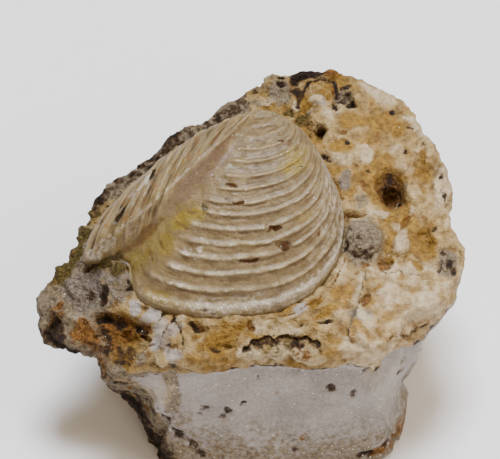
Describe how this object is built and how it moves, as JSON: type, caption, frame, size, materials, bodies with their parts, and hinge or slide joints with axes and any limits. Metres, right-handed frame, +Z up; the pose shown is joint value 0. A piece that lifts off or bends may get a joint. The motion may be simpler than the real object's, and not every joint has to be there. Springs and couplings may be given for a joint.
{
  "type": "fossil clam in matrix",
  "caption": "Ridged fossil clam valve with a keeled rear flank, set in a lump of pitted shelly limestone that lies on its flat broken back.",
  "frame": {"origin": "middle of the bounding box, on the surface that the lump rests on", "axes": "+X along the valve's length towards its front end, +Y to the back of the lump, where the crust is highest, +Z up"},
  "size_m": [0.0602, 0.0428, 0.044],
  "materials": {
    "calcite_shell": "glossy tan calcite shell with pale concentric ribs, olive-brown grooves and rust flecks",
    "shelly_limestone": "rough weathered limestone: cream and ochre crust, grey-white sugary break below, dark brown pits"
  },
  "bodies": {
    "root": {"clam_shell": "calcite_shell", "matrix_rock": "shelly_limestone"}
  },
  "joints": []
}
